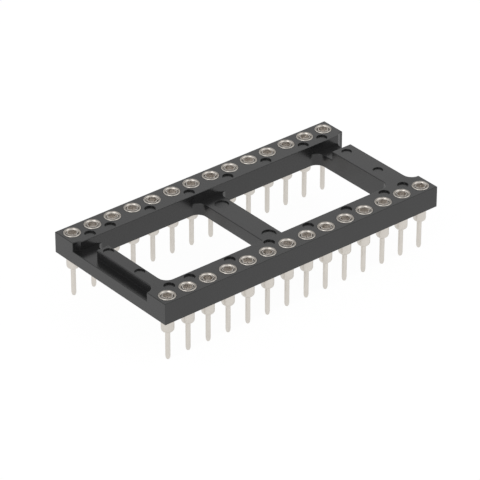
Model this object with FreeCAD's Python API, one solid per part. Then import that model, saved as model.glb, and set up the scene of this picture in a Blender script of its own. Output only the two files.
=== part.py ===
import FreeCAD, Part
import math
import os

# Open-frame dual in-line socket for a 28-lead package.
# Millimetres. The origin is the centre of the tail pattern on the board's surface,
# +X runs along the rows, +Y from the row of contacts 1 to 14 towards the other row,
# and +Z up, out of the board.

# Contact grid
contacts_per_row = 14
pitch = 2.54
row_gap = 15.24

# Moulded insulator: the margins are measured from the contacts' centres
end_margin = 1.23
outer_margin = 1.23
inner_margin = 2.02
recess_margin = 1.67
frame_bottom = 1.71
frame_top = 4.08
bar_width = 2.56
bar_height = 1.38
end_recess = 1.08
end_notch = 2.2
inner_radius = 1.0

# Turned sleeve
head_radius = 0.90
head_proud = 0.11
shoulder_radius = 0.675
bore_radius = 0.62
bore_floor = 0.35
tail_radius = 0.255
tail_length = 3.25

# Formed spring clip
clip_sides = 6
clip_sheet = 0.07
clip_recess = 0.12
collar_height = 0.4
finger_length = 1.35
finger_gap = 0.36
finger_share = 0.86

# Clearances
sleeve_clearance = 0.01
clip_clearance = 0.01

# Worked out from the sizes above
first_x = -pitch * (contacts_per_row - 1) / 2
half_length = end_margin - first_x
half_width = row_gap / 2 + outer_margin
rail_inner = row_gap / 2 - inner_margin
recess_side = row_gap / 2 - recess_margin
bar_top = frame_bottom + bar_height
bar_spacing = (2 * half_length - end_recess - bar_width) / 2
bar_left_edges = [-half_length + i * bar_spacing for i in range(3)]
notch_start = rail_inner - end_notch
mouth_top = frame_top + head_proud
finger_root = (bore_radius - clip_clearance) * math.cos(math.pi / clip_sides)


def corner_arc(before, corner, after, radius):
    """Tangent points and mid point of the arc that rounds one corner of an outline."""
    to_before = (before - corner).normalize()
    to_after = (after - corner).normalize()
    half_turn = to_before.getAngle(to_after) / 2
    reach = radius / math.tan(half_turn)
    bisector = (to_before + to_after).normalize()
    start = corner + to_before * reach
    end = corner + to_after * reach
    middle = corner + bisector * (radius / math.sin(half_turn) - radius)
    return start, middle, end


def rounded_prism(corners, low, high):
    """Prism over an outline given as (x, y, corner radius), from low to high."""
    points = [FreeCAD.Vector(x, y, low) for x, y, radius in corners]
    arcs = {}
    ends = []
    for i, (x, y, radius) in enumerate(corners):
        if radius == 0:
            ends.append((points[i], points[i]))
            continue
        before = points[i - 1]
        after = points[(i + 1) % len(points)]
        start, middle, end = corner_arc(before, points[i], after, radius)
        arcs[i] = Part.Arc(start, middle, end).toShape()
        ends.append((start, end))
    outline = []
    for i in range(len(points)):
        if i in arcs:
            outline.append(arcs[i])
        leave = ends[i][1]
        arrive = ends[(i + 1) % len(points)][0]
        if leave.distanceToPoint(arrive) > 1e-7:
            outline.append(Part.makeLine(leave, arrive))
    face = Part.Face(Part.Wire(outline))
    return face.extrude(FreeCAD.Vector(0, 0, high - low))


def block(x_low, x_high, y_low, y_high, z_low, z_high):
    """Square-cornered block between two opposite corners."""
    corner = FreeCAD.Vector(x_low, y_low, z_low)
    return Part.makeBox(x_high - x_low, y_high - y_low, z_high - z_low, corner)


def turned(profile):
    """Solid of revolution about Z from (radius, height) points."""
    points = [FreeCAD.Vector(radius, 0, height) for radius, height in profile]
    face = Part.Face(Part.makePolygon(points + points[:1]))
    return face.revolve(FreeCAD.Vector(0, 0, 0), FreeCAD.Vector(0, 0, 1), 360)


def collar_prism(flat_distance, low, high):
    """Prism with clip_sides flats that lie at flat_distance from the axis."""
    corner_distance = flat_distance / math.cos(math.pi / clip_sides)
    corners = []
    for i in range(clip_sides):
        angle = 2 * math.pi * (i + 0.5) / clip_sides
        corners.append((corner_distance * math.cos(angle), corner_distance * math.sin(angle), 0))
    return rounded_prism(corners, low, high)


def contact_places():
    """Number and centre of each contact: 1 to 14 in front, then back along the other row."""
    places = []
    for i in range(contacts_per_row):
        x = first_x + i * pitch
        places.append((i + 1, x, -row_gap / 2))
        places.append((2 * contacts_per_row - i, x, row_gap / 2))
    return sorted(places)


def window(left_edge):
    """Rounded window between the bar that starts at left_edge and the next one."""
    start = left_edge + bar_width
    stop = left_edge + bar_spacing
    corners = [
        (start, -rail_inner, inner_radius),
        (stop, -rail_inner, inner_radius),
        (stop, rail_inner, inner_radius),
        (start, rail_inner, inner_radius),
    ]
    return rounded_prism(corners, frame_bottom - 1, frame_top + 1)


def right_recess(low):
    """Recess between the rails' right ends, from the height low upwards."""
    start = half_length - end_recess
    stop = half_length + 1
    corners = [
        (start, -recess_side, inner_radius),
        (stop, -recess_side, 0),
        (stop, recess_side, 0),
        (start, recess_side, inner_radius),
    ]
    return rounded_prism(corners, low, frame_top + 1)


def left_recess(low):
    """The same recess at the left end: the right one turned half way round."""
    recess = right_recess(low)
    recess.rotate(FreeCAD.Vector(0, 0, 0), FreeCAD.Vector(0, 0, 1), 180)
    return recess


def lowered_parts():
    """What is cut away above the bars: the middle bar and the notch in each end bar."""
    left, middle, right = bar_left_edges
    high = frame_top + 1
    return [
        block(middle - inner_radius, middle + bar_width + inner_radius,
              -rail_inner, rail_inner, bar_top, high),
        block(left, left + bar_width + inner_radius, notch_start, rail_inner, bar_top, high),
        block(right - inner_radius, half_length, notch_start, rail_inner, bar_top, high),
    ]


def insulator():
    """Moulded frame: a block with windows, end recesses and one hole for each contact.

    The right recess goes right through. The left one stops at the bars' height,
    which leaves a step along the end.
    """
    body = block(-half_length, half_length, -half_width, half_width, frame_bottom, frame_top)
    cutters = [window(left_edge) for left_edge in bar_left_edges[:2]]
    cutters += [right_recess(frame_bottom - 1), left_recess(bar_top)]
    cutters += lowered_parts()
    for cutter in cutters:
        body = body.cut(cutter)
    for number, x, y in contact_places():
        place = FreeCAD.Vector(x, y, frame_bottom - 1)
        hole = Part.makeCylinder(head_radius + sleeve_clearance, frame_top - frame_bottom + 2, place)
        body = body.cut(hole)
    return body.removeSplitter()


def sleeve():
    """Turned contact sleeve: round tail, shoulder, barrel and an open bore for the clip."""
    floor = frame_bottom + bore_floor
    return turned([
        (0, -tail_length),
        (tail_radius, -tail_length),
        (tail_radius, 0),
        (shoulder_radius, 0),
        (shoulder_radius, frame_bottom),
        (head_radius, frame_bottom),
        (head_radius, mouth_top),
        (bore_radius, mouth_top),
        (bore_radius, floor),
        (0, floor),
    ])


def finger(bend, tip):
    """One flat finger along +X, cut tapered from the sheet, that leans in towards the axis."""
    reach = finger_gap / 2
    side = [
        (finger_root - clip_sheet, bend),
        (finger_root, bend),
        (reach + clip_sheet, tip),
        (reach, tip),
    ]
    wide = (finger_root - clip_sheet) * math.tan(math.pi / clip_sides) * finger_share
    narrow = reach * math.tan(math.pi / clip_sides) * finger_share
    front = [(-wide, bend), (wide, bend), (narrow, tip), (-narrow, tip)]
    side_points = [FreeCAD.Vector(x, -wide, z) for x, z in side]
    front_points = [FreeCAD.Vector(0, y, z) for y, z in front]
    leaning = Part.Face(Part.makePolygon(side_points + side_points[:1]))
    tapered = Part.Face(Part.makePolygon(front_points + front_points[:1]))
    leaning = leaning.extrude(FreeCAD.Vector(0, 2 * wide, 0))
    return leaning.common(tapered.extrude(FreeCAD.Vector(bore_radius, 0, 0)))


def clip():
    """Spring clip folded from sheet: a six-sided collar and six fingers that lean inwards."""
    top = mouth_top - clip_recess
    bend = top - collar_height
    tip = bend - finger_length
    collar = collar_prism(finger_root, bend, top)
    body = collar.cut(collar_prism(finger_root - clip_sheet, bend - 1, top + 1))
    for i in range(clip_sides):
        one = finger(bend, tip)
        one.rotate(FreeCAD.Vector(0, 0, 0), FreeCAD.Vector(0, 0, 1), 360 / clip_sides * i)
        body = body.fuse(one)
    return body.removeSplitter()


def save(shape, node):
    """Write one node's solid."""
    shape.exportStep("parts/" + node + ".step")


def main():
    os.makedirs("parts", exist_ok=True)
    save(insulator(), "insulator")
    for number, x, y in contact_places():
        place = FreeCAD.Vector(x, y, 0)
        sleeve_here = sleeve()
        sleeve_here.translate(place)
        save(sleeve_here, "contact_%02d_sleeve" % number)
        clip_here = clip()
        clip_here.translate(place)
        save(clip_here, "contact_%02d_clip" % number)


main()
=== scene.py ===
# %% [markdown]
# # A chip socket with turned contacts
#
# The object is an open-frame socket for a chip with 28 leads. A dark plastic ladder holds
# two rows of small turned metal sleeves. Each sleeve has a mouth on top, with a spring clip
# in it for the chip's lead, and a thin round tail below that is soldered into a board.
#
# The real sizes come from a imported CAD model, which is loaded first as a fixed frame. This
# script adds what a plain solid lacks: rounded moulding edges, the marks that the mould's
# ejector pins leave, chamfered mouths, rounded tail tips, curved spring fingers and finishes.

# %% Load the fixed frame
import math
import bmesh
import bpy
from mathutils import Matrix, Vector


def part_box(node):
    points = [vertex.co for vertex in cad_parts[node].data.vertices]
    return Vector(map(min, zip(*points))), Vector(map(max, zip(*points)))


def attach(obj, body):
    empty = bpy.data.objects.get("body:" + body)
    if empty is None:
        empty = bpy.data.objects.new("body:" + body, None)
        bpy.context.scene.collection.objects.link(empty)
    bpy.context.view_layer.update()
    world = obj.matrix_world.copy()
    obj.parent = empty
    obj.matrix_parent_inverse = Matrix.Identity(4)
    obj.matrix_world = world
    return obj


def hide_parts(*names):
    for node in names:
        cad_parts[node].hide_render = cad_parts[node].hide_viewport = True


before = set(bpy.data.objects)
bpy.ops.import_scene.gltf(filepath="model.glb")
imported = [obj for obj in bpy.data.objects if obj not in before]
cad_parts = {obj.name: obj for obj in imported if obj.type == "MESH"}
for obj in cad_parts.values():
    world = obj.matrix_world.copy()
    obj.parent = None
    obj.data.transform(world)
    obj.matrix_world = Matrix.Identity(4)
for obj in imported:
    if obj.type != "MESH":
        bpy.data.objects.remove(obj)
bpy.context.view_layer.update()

# %% [markdown]
# ## Working in millimetres
#
# Many Blender tools have limits of about a micrometre built in, and they count in scene
# units. On a part with walls of a tenth of a millimetre, a bevel made in metres can go
# wrong for that reason. So each piece here is modelled with one unit as a millimetre, and
# the last step shrinks it to metres with its place kept in its mesh.

# %% Small helpers for selecting and finishing
MM = 0.001
merge_distance = 0.001
flat_angle = math.radians(1)


def deselect_all():
    """Leave nothing selected, because an operator acts on all that is."""
    for item in bpy.context.selected_objects:
        item.select_set(False)


def make_active(piece):
    """Select one object alone and make it the active one."""
    deselect_all()
    piece.select_set(True)
    bpy.context.view_layer.objects.active = piece


def select_vertices(piece, test):
    """In edit mode, select the vertices whose place passes the test, with what joins them."""
    bpy.ops.mesh.select_all(action="DESELECT")
    bpy.ops.object.mode_set(mode="OBJECT")
    for vertex in piece.data.vertices:
        vertex.select = test(vertex.co)
    bpy.ops.object.mode_set(mode="EDIT")


def merge_and_flatten():
    """In edit mode, join loose corners and turn each flat area into one large face."""
    bpy.ops.mesh.select_all(action="SELECT")
    bpy.ops.mesh.remove_doubles(threshold=merge_distance)
    bpy.ops.mesh.dissolve_limited(angle_limit=flat_angle)


def merge_and_turn_out():
    """In edit mode, join loose corners and point every face outwards."""
    bpy.ops.mesh.select_all(action="SELECT")
    bpy.ops.mesh.remove_doubles(threshold=merge_distance)
    bpy.ops.mesh.normals_make_consistent(inside=False)


def apply_modifiers(piece):
    """Turn every modifier on the piece into plain mesh, in order."""
    make_active(piece)
    for modifier in list(piece.modifiers):
        bpy.ops.object.modifier_apply(modifier=modifier.name)


def to_metres(piece):
    """Shrink a piece modelled in millimetres, and keep its size and place in its mesh."""
    make_active(piece)
    piece.scale = (MM, MM, MM)
    bpy.ops.object.transform_apply(location=False, rotation=False, scale=True)


def node_centre(node):
    """Middle of a CAD node's box, in millimetres."""
    low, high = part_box(node)
    return (low + high) / (2 * MM)


# %% [markdown]
# ## Where the contacts stand
#
# The contacts stand on a standard grid, 2.54 mm apart in two rows 15.24 mm apart. The frame
# already has a node for each, so their places are read from it and not typed again. The
# height of each level comes the same way, apart from that of the lowered bars, which is
# inside the insulator's box.

# %% Read the contact places and the levels
sleeve_nodes = [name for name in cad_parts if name.endswith("_sleeve")]
contact_numbers = sorted(int(name.split("_")[1]) for name in sleeve_nodes)
contact_centres = {n: node_centre("contact_%02d_sleeve" % n) for n in contact_numbers}
pitch = abs(contact_centres[2].x - contact_centres[1].x)
row_y = abs(contact_centres[1].y)
first_x = contact_centres[1].x
frame_low, frame_high = (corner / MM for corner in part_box("insulator"))
sleeve_low, sleeve_high = (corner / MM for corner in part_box("contact_01_sleeve"))
frame_bottom = frame_low.z
frame_top = frame_high.z
mouth_top = sleeve_high.z
tail_end = sleeve_low.z
bar_top = 3.09
print("contacts:", len(contact_numbers))
print("pitch %.2f mm, rows %.2f mm apart" % (pitch, 2 * row_y))

# %% [markdown]
# ## The moulded frame
#
# The frame is one injection moulding in a stiff dark plastic. Its solid already has the
# rails, bars, windows and holes at their real sizes, but every edge is razor sharp, and no
# moulding is. The frame could be built again from cubes and cutters, yet the holes would
# then have to be matched to the sleeves a second time. It is safer to copy the solid's
# mesh, clean it and add the detail to the copy.
#
# A mesh from CAD is loose triangles. Merging by distance joins them, and a limited dissolve
# turns each flat face back into one large face, so that a bevel later finds only the real
# edges.

# %% Copy and clean the frame's mesh
insulator_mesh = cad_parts["insulator"].data.copy()
moulded_frame = bpy.data.objects.new("moulded_frame", insulator_mesh)
bpy.context.scene.collection.objects.link(moulded_frame)
make_active(moulded_frame)
moulded_frame.scale = (1 / MM, 1 / MM, 1 / MM)
bpy.ops.object.transform_apply(location=False, rotation=False, scale=True)
bpy.ops.object.mode_set(mode="EDIT")
merge_and_flatten()
bpy.ops.object.mode_set(mode="OBJECT")
print("clean frame: %d faces" % len(moulded_frame.data.polygons))

# %% [markdown]
# ## Ejector pin marks
#
# When the mould opens, steel pins push the part out, and each leaves a shallow round dent.
# They sit halfway between contacts near each rail's inner edge, two on each raised end
# block and a larger one at each end of the middle bar. They are blind, a sixth of a
# millimetre deep in the rails and less elsewhere.
#
# A boolean with a set of short cylinders makes them. All cylinders are joined first, so one
# modifier cuts them all.

# %% Places of the ejector marks
mark_facets = 32
rail_mark_radius = 0.58
rail_mark_depth = 0.17
rail_mark_y = row_y - pitch / 2
# The gaps between two contacts that have a mark, counted from contact 1
marked_gaps = (1, 2, 4, 6, 8, 10, 12, 13)
shallow_depth = 0.14
block_mark_radius = 0.55
block_marks = ((-15.87, 2.5), (-15.87, -2.5), (15.3, 2.45), (15.3, -2.45))
bar_mark_radius = 0.75
bar_marks = ((-0.4, -3.75), (-0.4, 3.75))

mark_list = []
for gap in marked_gaps:
    x = first_x + (gap - 0.5) * pitch
    for y in (rail_mark_y, -rail_mark_y):
        mark_list.append((x, y, frame_top, rail_mark_radius, rail_mark_depth))
mark_list += [(x, y, frame_top, block_mark_radius, shallow_depth) for x, y in block_marks]
mark_list += [(x, y, bar_top, bar_mark_radius, shallow_depth) for x, y in bar_marks]
print("ejector marks:", len(mark_list))

# %% Cut the ejector marks
cutters = []
for x, y, level, radius, depth in mark_list:
    deselect_all()
    bpy.ops.mesh.primitive_cylinder_add(
        vertices=mark_facets, radius=radius, depth=2 * depth, location=(x, y, level))
    cutters.append(bpy.context.object)
deselect_all()
for cutter in cutters:
    cutter.select_set(True)
bpy.context.view_layer.objects.active = cutters[0]
bpy.ops.object.join()
pin_cutter = bpy.context.object
bpy.ops.object.transform_apply(location=True, rotation=True, scale=True)

cut = moulded_frame.modifiers.new("ejector marks", "BOOLEAN")
cut.operation = "DIFFERENCE"
cut.solver = "EXACT"
cut.object = pin_cutter
apply_modifiers(moulded_frame)
bpy.data.objects.remove(pin_cutter)
print("frame with marks: %d faces" % len(moulded_frame.data.polygons))

# %% [markdown]
# ## Rounded moulding edges
#
# Plastic can't fill a perfectly sharp corner of a mould, so outward edges get a bevel of a
# few hundredths of a millimetre. The rims of the top faces are rounder, and show as a thin
# dark line between the top and the side, because they mirror the darker room overhead.
# Inward corners are left almost sharp. One Bevel modifier makes all three: its width is
# scaled on each edge by that edge's bevel weight, and the facets of the round holes, which
# meet at a small angle, get none. Clamp Overlap is off, because the thin slivers where a
# window's corner runs into a rail would otherwise shrink every bevel to almost nothing.
#
# Smooth shading alone would bend the light over the large flat faces too, because their
# corners are shared with the bevel. Weighted Normal gives the large faces the say at every
# corner, so they shade flat and only the bevel shades round.

# %% Give each edge its share of the rounding
rim_radius = 0.07
edge_radius = 0.03
corner_radius = 0.01
sharp_angle = math.radians(35)
level_tolerance = 0.001
hole_reach = 0.95
mark_margin = 0.05
round_places = [(centre.x, centre.y, hole_reach) for centre in contact_centres.values()]
round_places += [(x, y, radius + mark_margin) for x, y, _, radius, _ in mark_list]


def is_rim(edge):
    """True for an edge of a top face that isn't the edge of a hole or a mark."""
    for vertex in edge.verts:
        place = vertex.co
        if min(abs(place.z - frame_top), abs(place.z - bar_top)) > level_tolerance:
            return False
        if any(math.hypot(place.x - x, place.y - y) < reach for x, y, reach in round_places):
            return False
    return True


bpy.ops.object.mode_set(mode="EDIT")
merge_and_flatten()
shape = bmesh.from_edit_mesh(moulded_frame.data)
weight = shape.edges.layers.float.new("bevel_weight_edge")
for edge in shape.edges:
    if edge.calc_face_angle(0) < sharp_angle:
        continue
    if not edge.is_convex:
        edge[weight] = corner_radius / rim_radius
    elif is_rim(edge):
        edge[weight] = 1
    else:
        edge[weight] = edge_radius / rim_radius
print("rim edges:", sum(1 for edge in shape.edges if edge[weight] == 1))
bmesh.update_edit_mesh(moulded_frame.data)
bpy.ops.object.mode_set(mode="OBJECT")

# %% Round the frame's edges
frame_smooth_angle = math.radians(50)

rounding = moulded_frame.modifiers.new("edge rounding", "BEVEL")
rounding.width = rim_radius
rounding.segments = 3
rounding.limit_method = "WEIGHT"
rounding.use_clamp_overlap = False
apply_modifiers(moulded_frame)
bpy.ops.object.shade_smooth_by_angle(angle=frame_smooth_angle)
flats = moulded_frame.modifiers.new("flat faces stay flat", "WEIGHTED_NORMAL")
flats.keep_sharp = True
apply_modifiers(moulded_frame)
to_metres(moulded_frame)
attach(moulded_frame, "root")
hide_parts("insulator")
print("finished frame: %d faces" % len(moulded_frame.data.polygons))

# %% [markdown]
# ## The turned sleeves
#
# A sleeve is cut from brass bar on a lathe, so its whole shape is one half outline turned
# about its axis. Blender's Spin does the same. The outline is drawn by extruding a single
# vertex from point to point, from the tail's tip, up the outside, over the mouth and down
# the bore to its floor.
#
# The outline follows the solid, and adds what the lathe leaves: a tapered tail tip, a
# rounded underside to the shoulder, a softened head and a chamfer that guides the lead in.

# %% Draw the sleeve's half outline
tail_radius = 0.255
shoulder_radius = 0.675
head_radius = 0.90
bore_radius = 0.62
bore_floor = 2.06
# Radius and height above the tail's end
tail_tip = [(0, 0), (0.10, 0), (0.17, 0.06), (0.225, 0.20), (tail_radius, 0.42)]
tail_root = 0.05
shoulder_round = 0.36
shoulder_steps = 5
head_round = 0.15
head_steps = 4
mouth_chamfer = 0.12
chamfer_foot = 0.02
chamfer_blend = 0.05


def quarter_round(centre_radius, centre_height, size, start, stop, steps):
    """Points on a round corner of the outline, between two angles in degrees."""
    points = []
    for i in range(steps + 1):
        angle = math.radians(start + (stop - start) * i / steps)
        radius = centre_radius + size * math.cos(angle)
        points.append((radius, centre_height + size * math.sin(angle)))
    return points


chamfer_end = mouth_top - mouth_chamfer
sleeve_outline = [(radius, tail_end + height) for radius, height in tail_tip]
sleeve_outline += [(tail_radius, -tail_root), (tail_radius + tail_root, 0)]
sleeve_outline += quarter_round(
    shoulder_radius - shoulder_round, shoulder_round, shoulder_round, -90, 0, shoulder_steps)
sleeve_outline += [(shoulder_radius, frame_bottom), (head_radius, frame_bottom)]
sleeve_outline += quarter_round(
    head_radius - head_round, mouth_top - head_round, head_round, 0, 90, head_steps)
sleeve_outline += [
    (bore_radius + mouth_chamfer, mouth_top),
    (bore_radius + chamfer_foot, chamfer_end),
    (bore_radius, chamfer_end - chamfer_blend),
    (bore_radius, bore_floor),
    (0, bore_floor),
]
print("sleeve outline: %d points" % len(sleeve_outline))

# %% Spin the sleeve
spin_steps = 40


def turned_piece(name, outline):
    """Solid turned about Z, from (radius, height) points that start and end on the axis."""
    deselect_all()
    bpy.ops.mesh.primitive_plane_add(size=1, location=(0, 0, 0))
    piece = bpy.context.object
    piece.name = name
    bpy.ops.object.mode_set(mode="EDIT")
    bpy.ops.mesh.select_all(action="SELECT")
    bpy.ops.mesh.merge(type="CENTER")
    bpy.ops.transform.translate(value=(outline[0][0], 0, outline[0][1]))
    for (radius, height), (next_radius, next_height) in zip(outline, outline[1:]):
        step = (next_radius - radius, 0, next_height - height)
        bpy.ops.mesh.extrude_vertices_move(TRANSFORM_OT_translate={"value": step})
    bpy.ops.mesh.select_all(action="SELECT")
    bpy.ops.mesh.spin(
        steps=spin_steps, angle=2 * math.pi, center=(0, 0, 0), axis=(0, 0, 1))
    merge_and_turn_out()
    bpy.ops.object.mode_set(mode="OBJECT")
    return piece


sleeve_master = turned_piece("sleeve_master", sleeve_outline)
bpy.ops.object.shade_smooth_by_angle(angle=sharp_angle)
print("one sleeve: %d faces" % len(sleeve_master.data.polygons))

# %% [markdown]
# ## The spring clips
#
# Inside each mouth sits a clip folded from thin sheet: a six-sided collar, and six fingers
# that bow in until they nearly meet. They grip the chip's lead. One side is enough to
# model. A plane becomes one flat of the collar, its lower edge is extruded down in short
# steps that lean in and narrow, and a copying Spin sets six of them round the axis.
# Solidify then gives the sheet its thickness, inwards, so the clip stays clear of the bore.

# %% Shape one side of the clip
clip_sides = 6
clip_sheet = 0.07
clip_clearance = 0.01
half_side = math.pi / clip_sides
collar_corner = bore_radius - clip_clearance
collar_flat = collar_corner * math.cos(half_side)
collar_side = 2 * collar_corner * math.sin(half_side)
clip_low, clip_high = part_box("contact_01_clip")
collar_top = clip_high.z / MM
collar_height = 0.4
finger_length = collar_top - clip_low.z / MM - collar_height
finger_width = 0.86
tip_reach = 0.25
tip_flare = 0.04
grip_place = 0.8
finger_steps = 8


def finger_line(share):
    """Distance of the finger's outer face from the axis, at a share of its length."""
    if share <= grip_place:
        return collar_flat - (collar_flat - tip_reach) * (1 - (1 - share / grip_place) ** 2)
    return tip_reach + tip_flare * (share - grip_place) / (1 - grip_place)


deselect_all()
bpy.ops.mesh.primitive_plane_add(
    size=1, location=(0, 0, 0), rotation=(0, math.pi / 2, 0))
clip_master = bpy.context.object
clip_master.name = "clip_master"
clip_master.scale = (collar_height, collar_side, 1)
collar_middle = collar_top - collar_height / 2
clip_master.location = (collar_flat, 0, collar_middle)
bpy.ops.object.transform_apply(location=True, rotation=True, scale=True)
bpy.ops.object.mode_set(mode="EDIT")
select_vertices(clip_master, lambda place: place.z < collar_middle)
width = collar_side
for i in range(1, finger_steps + 1):
    share = i / finger_steps
    before = (i - 1) / finger_steps
    step = (finger_line(share) - finger_line(before), 0, -finger_length / finger_steps)
    bpy.ops.mesh.extrude_edges_move(TRANSFORM_OT_translate={"value": step})
    new_width = 2 * (finger_line(share) - clip_sheet) * math.tan(half_side) * finger_width
    middle = (finger_line(share), 0, collar_top - collar_height - finger_length * share)
    bpy.ops.transform.resize(value=(1, new_width / width, 1), center_override=middle)
    width = new_width
bpy.ops.object.mode_set(mode="OBJECT")
print("one side of the clip: %d faces" % len(clip_master.data.polygons))

# %% Set six sides round the axis and thicken them
bpy.ops.object.mode_set(mode="EDIT")
bpy.ops.mesh.select_all(action="SELECT")
bpy.ops.mesh.spin(
    steps=clip_sides, dupli=True, angle=2 * math.pi, center=(0, 0, 0), axis=(0, 0, 1))
merge_and_turn_out()
bpy.ops.object.mode_set(mode="OBJECT")
sheet = clip_master.modifiers.new("sheet", "SOLIDIFY")
sheet.thickness = clip_sheet
sheet.offset = -1
apply_modifiers(clip_master)
bpy.ops.object.shade_smooth_by_angle(angle=sharp_angle)
print("one clip: %d faces" % len(clip_master.data.polygons))

# %% [markdown]
# ## Copies at every contact
#
# The sleeve and the clip are each modelled once. A copy gets its own mesh, because its
# place is kept in its vertices and the object itself stays at the origin. A small turn
# about the axis for each clip, a different one each time, follows the real parts: the
# clips are pressed in with no care for which way a flat faces.

# %% Copy the sleeves and the clips
golden_angle = 137.5


def copy_at(master, name, place, turn=0):
    """Copy of a master with its own mesh, turned about Z and moved to a place."""
    piece = bpy.data.objects.new(name, master.data.copy())
    bpy.context.scene.collection.objects.link(piece)
    make_active(piece)
    piece.rotation_euler = (0, 0, turn)
    piece.location = (place.x, place.y, 0)
    bpy.ops.object.transform_apply(location=True, rotation=True, scale=True)
    to_metres(piece)
    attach(piece, "root")
    return piece


sleeves = []
clips = []
for number, centre in contact_centres.items():
    sleeve = copy_at(sleeve_master, "turned_sleeve_%02d" % number, centre)
    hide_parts("contact_%02d_sleeve" % number)
    sleeves.append(sleeve)
    turn = math.radians(golden_angle * number)
    clip = copy_at(clip_master, "spring_clip_%02d" % number, centre, turn)
    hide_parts("contact_%02d_clip" % number)
    clips.append(clip)
bpy.data.objects.remove(sleeve_master)
bpy.data.objects.remove(clip_master)
print("sleeves and clips:", len(sleeves), len(clips))

# %% [markdown]
# ## One group for uneven surfaces
#
# No finish is one flat colour. Moulded plastic has cloudy patches and a fine spark-eroded
# grain, and plated metal has dull and bright areas. All three finishes here need the same
# recipe, a coarse noise for patches and a fine one for grain, so it is built once as a node
# group. Each material places the group with its own colours and scales. The group puts out
# only values that vary over the surface, and the shader stays in the material.

# %% Build the uneven surface group
grain_weight = 0.35

# A Mix node has sockets for each kind of value, and the colour ones go by these numbers.
MIX_COLOUR_A = 6
MIX_COLOUR_B = 7
MIX_COLOUR_OUT = 2

uneven = bpy.data.node_groups.new("uneven_surface", "ShaderNodeTree")
for name, kind in (
    ("Vector", "NodeSocketVector"),
    ("Patch Scale", "NodeSocketFloat"),
    ("Grain Scale", "NodeSocketFloat"),
    ("Color Low", "NodeSocketColor"),
    ("Color High", "NodeSocketColor"),
    ("Rough Low", "NodeSocketFloat"),
    ("Rough High", "NodeSocketFloat"),
):
    uneven.interface.new_socket(name=name, in_out="INPUT", socket_type=kind)
for name, kind in (
    ("Color", "NodeSocketColor"),
    ("Roughness", "NodeSocketFloat"),
    ("Height", "NodeSocketFloat"),
):
    uneven.interface.new_socket(name=name, in_out="OUTPUT", socket_type=kind)
group_in = uneven.nodes.new("NodeGroupInput")
group_out = uneven.nodes.new("NodeGroupOutput")
patches = uneven.nodes.new("ShaderNodeTexNoise")
patches.inputs["Detail"].default_value = 3
grain = uneven.nodes.new("ShaderNodeTexNoise")
grain.inputs["Detail"].default_value = 4
grain.inputs["Roughness"].default_value = 0.6
blend_colour = uneven.nodes.new("ShaderNodeMix")
blend_colour.data_type = "RGBA"
spread_rough = uneven.nodes.new("ShaderNodeMapRange")
both = uneven.nodes.new("ShaderNodeMath")
both.operation = "MULTIPLY_ADD"
both.inputs[1].default_value = grain_weight
for a, b in (
    (group_in.outputs["Vector"], patches.inputs["Vector"]),
    (group_in.outputs["Patch Scale"], patches.inputs["Scale"]),
    (group_in.outputs["Vector"], grain.inputs["Vector"]),
    (group_in.outputs["Grain Scale"], grain.inputs["Scale"]),
    (grain.outputs["Fac"], both.inputs[0]),
    (patches.outputs["Fac"], both.inputs[2]),
    (both.outputs[0], spread_rough.inputs["Value"]),
    (group_in.outputs["Rough Low"], spread_rough.inputs["To Min"]),
    (group_in.outputs["Rough High"], spread_rough.inputs["To Max"]),
    (patches.outputs["Fac"], blend_colour.inputs[0]),
    (group_in.outputs["Color Low"], blend_colour.inputs[MIX_COLOUR_A]),
    (group_in.outputs["Color High"], blend_colour.inputs[MIX_COLOUR_B]),
    (blend_colour.outputs[MIX_COLOUR_OUT], group_out.inputs["Color"]),
    (spread_rough.outputs[0], group_out.inputs["Roughness"]),
    (grain.outputs["Fac"], group_out.inputs["Height"]),
):
    uneven.links.new(a, b)
print("group:", uneven.name, "with", len(uneven.nodes), "nodes")

# %% [markdown]
# ## The three finishes
#
# The moulding is a dark grey filled plastic with a satin sheen. Its colour is almost black,
# and nearly all that the eye sees of it is reflection. The sleeves are brass under matt tin,
# which looks warm and pale. The clips are a copper alloy under thin, pale gold. The same
# small function builds each: coordinates, the group, a Bump node for the grain and a
# Principled BSDF, with what is constant set straight on the shader's own sockets.

# %% Build the finishes


def surface_material(name, scales, colours, rough, metallic, bump, specular=0.5):
    """Material on the uneven surface group.

    Each pair goes from low to high, apart from scales, which is the patches' and the
    grain's, and bump, which is its strength and its depth in metres.
    """
    material = bpy.data.materials.new(name)
    material.use_nodes = True
    nodes = material.node_tree.nodes
    links = material.node_tree.links
    shader = nodes["Principled BSDF"]
    where = nodes.new("ShaderNodeTexCoord")
    group = nodes.new("ShaderNodeGroup")
    group.node_tree = uneven
    group.inputs["Patch Scale"].default_value = scales[0]
    group.inputs["Grain Scale"].default_value = scales[1]
    group.inputs["Color Low"].default_value = (*colours[0], 1)
    group.inputs["Color High"].default_value = (*colours[1], 1)
    group.inputs["Rough Low"].default_value = rough[0]
    group.inputs["Rough High"].default_value = rough[1]
    relief = nodes.new("ShaderNodeBump")
    relief.inputs["Strength"].default_value = bump[0]
    relief.inputs["Distance"].default_value = bump[1]
    shader.inputs["Metallic"].default_value = metallic
    shader.inputs["Specular IOR Level"].default_value = specular
    links.new(where.outputs["Object"], group.inputs["Vector"])
    links.new(group.outputs["Color"], shader.inputs["Base Color"])
    links.new(group.outputs["Roughness"], shader.inputs["Roughness"])
    links.new(group.outputs["Height"], relief.inputs["Height"])
    links.new(relief.outputs["Normal"], shader.inputs["Normal"])
    return material


grain_depth = 0.00001

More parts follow.
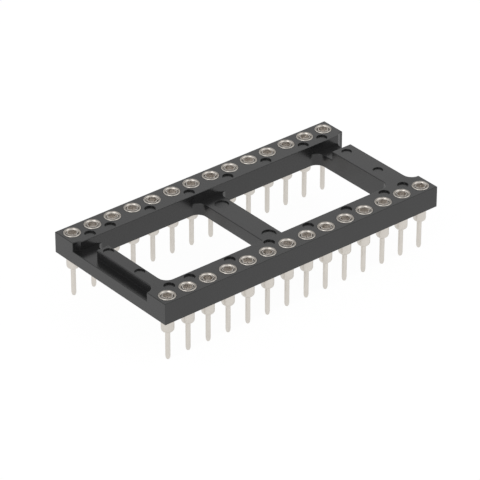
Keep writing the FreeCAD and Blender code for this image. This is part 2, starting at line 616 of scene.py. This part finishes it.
moulded_plastic = surface_material(
    "moulded_plastic",
    scales=(420, 9000),
    colours=((0.007, 0.007, 0.0072), (0.012, 0.012, 0.0124)),
    rough=(0.16, 0.28),
    metallic=0.0,
    bump=(0.15, grain_depth),
    specular=0.6,
)
matt_tin = surface_material(
    "matt_tin",
    scales=(900, 14000),
    colours=((0.59, 0.555, 0.51), (0.72, 0.685, 0.635)),
    rough=(0.24, 0.46),
    metallic=1.0,
    bump=(0.20, grain_depth),
)
thin_gold = surface_material(
    "thin_gold",
    scales=(1500, 16000),
    colours=((0.60, 0.565, 0.53), (0.78, 0.745, 0.705)),
    rough=(0.22, 0.40),
    metallic=1.0,
    bump=(0.15, grain_depth),
)
print("finishes:", moulded_plastic.name, matt_tin.name, thin_gold.name)

# %% [markdown]
# ## The faced tops
#
# The top of each sleeve, from just above the frame up to the mouth, is painted darker than
# the tail below. This is painted shade: the tin's colour is multiplied by a grey there. The
# mask is the height in Object coordinates, so it stays on the metal from every side.

# %% Paint shade on the sleeve tops
# Grey of painted shade that darkens the sleeve tops
painted_shade_grey = (0.50, 0.49, 0.48)
fade_start = frame_top + 0.03
fade_end = mouth_top - 0.02


def paint_shade_above(material, low, high, grey):
    """Painted shade: multiply a material's colour by a grey that fades in between two heights
    in metres.
    """
    nodes = material.node_tree.nodes
    links = material.node_tree.links
    where = nodes.new("ShaderNodeTexCoord")
    split = nodes.new("ShaderNodeSeparateXYZ")
    height = nodes.new("ShaderNodeMapRange")
    height.inputs["From Min"].default_value = low
    height.inputs["From Max"].default_value = high
    tint = nodes.new("ShaderNodeMix")
    tint.data_type = "RGBA"
    tint.blend_type = "MULTIPLY"
    tint.inputs[MIX_COLOUR_B].default_value = (*grey, 1)
    shader = nodes["Principled BSDF"]
    coloured = shader.inputs["Base Color"].links[0].from_socket
    links.new(where.outputs["Object"], split.inputs[0])
    links.new(split.outputs["Z"], height.inputs["Value"])
    links.new(height.outputs[0], tint.inputs[0])
    links.new(coloured, tint.inputs[MIX_COLOUR_A])
    links.new(tint.outputs[MIX_COLOUR_OUT], shader.inputs["Base Color"])


# Paint shade on the sleeve tops by multiplying the tin's colour by the grey
paint_shade_above(matt_tin, fade_start * MM, fade_end * MM, painted_shade_grey)
print("duller from %.2f to %.2f mm up" % (fade_start, fade_end))

# %% [markdown]
# ## Dressing the pieces
#
# Each piece carries one finish. The CAD nodes that the pieces stand for get the same ones,
# so that nothing in the file is left undressed.

# %% Give each piece its finish


def dress(piece, material):
    """Give a piece one material and nothing else."""
    piece.data.materials.clear()
    piece.data.materials.append(material)


dress(moulded_frame, moulded_plastic)
dress(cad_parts["insulator"], moulded_plastic)
for piece in sleeves + [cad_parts["contact_%02d_sleeve" % n] for n in contact_numbers]:
    dress(piece, matt_tin)
for piece in clips + [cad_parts["contact_%02d_clip" % n] for n in contact_numbers]:
    dress(piece, thin_gold)
print("pieces dressed:", 1 + len(sleeves) + len(clips))

# %% [markdown]
# ## Floor and light
#
# The photograph has a white ground with almost no shadow. More light would bleach the
# metal, so the white comes from Is Camera Ray: the camera sees a bright floor, while the
# object is lit at a plain level. Part of the floor stays an ordinary lit surface, which
# keeps the soft shadow. Metal shows what is around it, so glossy rays see the white too, but
# a dimmer grey overhead: that, together with the painted shade on the sleeve tops, is why
# the mouths look greyer than the tails.

# %% Lay the floor
floor_size = 1.6
floor_white = 1.05
white_share = 0.90

deselect_all()
bpy.ops.mesh.primitive_plane_add(size=floor_size, location=(0, 0, tail_end * MM))
floor = bpy.context.object
floor.name = "floor"
bpy.ops.object.transform_apply(location=True, rotation=True, scale=True)
floor_paper = bpy.data.materials.new("floor_paper")
floor_paper.use_nodes = True
nodes = floor_paper.node_tree.nodes
links = floor_paper.node_tree.links
paper = nodes["Principled BSDF"]
paper.inputs["Base Color"].default_value = (0.86, 0.86, 0.86, 1)
paper.inputs["Roughness"].default_value = 0.9
paper.inputs["Specular IOR Level"].default_value = 0.1
white = nodes.new("ShaderNodeEmission")
white.inputs["Strength"].default_value = floor_white
ray = nodes.new("ShaderNodeLightPath")
either = nodes.new("ShaderNodeMath")
either.operation = "MAXIMUM"
seen = nodes.new("ShaderNodeMath")
seen.operation = "MULTIPLY"
seen.inputs[1].default_value = white_share
mixed = nodes.new("ShaderNodeMixShader")
links.new(ray.outputs["Is Camera Ray"], either.inputs[0])
links.new(ray.outputs["Is Glossy Ray"], either.inputs[1])
links.new(either.outputs[0], seen.inputs[0])
links.new(seen.outputs[0], mixed.inputs[0])
links.new(paper.outputs[0], mixed.inputs[1])
links.new(white.outputs[0], mixed.inputs[2])
links.new(mixed.outputs[0], nodes["Material Output"].inputs["Surface"])
dress(floor, floor_paper)
print("floor at %.2f mm" % tail_end)

# %% Light the scene
plain_level = 0.62
overhead_level = 0.40
dim_from = 0.50
dim_full = 0.75

world = bpy.data.worlds.new("studio")
bpy.context.scene.world = world
world.use_nodes = True
nodes = world.node_tree.nodes
links = world.node_tree.links
sky = nodes["Background"]
sky.inputs["Color"].default_value = (1, 1, 1, 1)
ray = nodes.new("ShaderNodeLightPath")
shown = nodes.new("ShaderNodeMath")
shown.operation = "MAXIMUM"
level = nodes.new("ShaderNodeMapRange")
level.inputs["To Min"].default_value = plain_level
links.new(ray.outputs["Is Camera Ray"], shown.inputs[0])
links.new(ray.outputs["Is Glossy Ray"], shown.inputs[1])
links.new(shown.outputs[0], level.inputs["Value"])
links.new(level.outputs[0], sky.inputs["Strength"])
direction = nodes.new("ShaderNodeTexCoord")
split = nodes.new("ShaderNodeSeparateXYZ")
overhead = nodes.new("ShaderNodeMapRange")
overhead.inputs["From Min"].default_value = dim_from
overhead.inputs["From Max"].default_value = dim_full
overhead.inputs["To Min"].default_value = 1.0
overhead.inputs["To Max"].default_value = overhead_level
links.new(direction.outputs["Generated"], split.inputs[0])
links.new(split.outputs["Z"], overhead.inputs["Value"])
links.new(overhead.outputs[0], level.inputs["To Max"])


def soft_lamp(name, place, size, power):
    """Square area lamp at a place in metres, turned to the middle of the part."""
    data = bpy.data.lights.new(name, "AREA")
    data.size = size
    data.energy = power
    lamp = bpy.data.objects.new(name, data)
    bpy.context.scene.collection.objects.link(lamp)
    lamp.location = place
    lamp.rotation_euler = (-Vector(place)).to_track_quat("-Z", "Y").to_euler()


soft_lamp("key_left", place=(-0.30, -0.10, 0.16), size=0.22, power=0.25)
soft_lamp("fill_right", place=(0.20, -0.30, 0.24), size=0.30, power=0.18)

# %% [markdown]
# ## The camera
#
# The photograph was taken with a long lens from in front and to the left, about thirty
# degrees up. The angles and the distance were fitted to it, using the contact grid as a
# ruler, so they are plain numbers here.

# %% Place the camera
view_azimuth = math.radians(-39.51)
view_elevation = math.radians(31.29)
view_distance = 350.9 * MM
view_target = Vector((-1.70, -0.76, 1.41)) * MM
lens = 260.69

camera_data = bpy.data.cameras.new("camera")
camera_data.lens = lens
camera_data.sensor_width = 36
camera_data.clip_start = 0.01
camera_data.clip_end = 20
camera = bpy.data.objects.new("camera", camera_data)
bpy.context.scene.collection.objects.link(camera)
back = Vector((
    math.sin(view_azimuth) * math.cos(view_elevation),
    -math.cos(view_azimuth) * math.cos(view_elevation),
    math.sin(view_elevation),
))
camera.location = view_target + back * view_distance
camera.rotation_euler = (-back).to_track_quat("-Z", "Y").to_euler()
bpy.context.scene.camera = camera
bpy.context.scene.view_settings.view_transform = "Standard"
print("camera %.0f mm away" % (view_distance / MM))
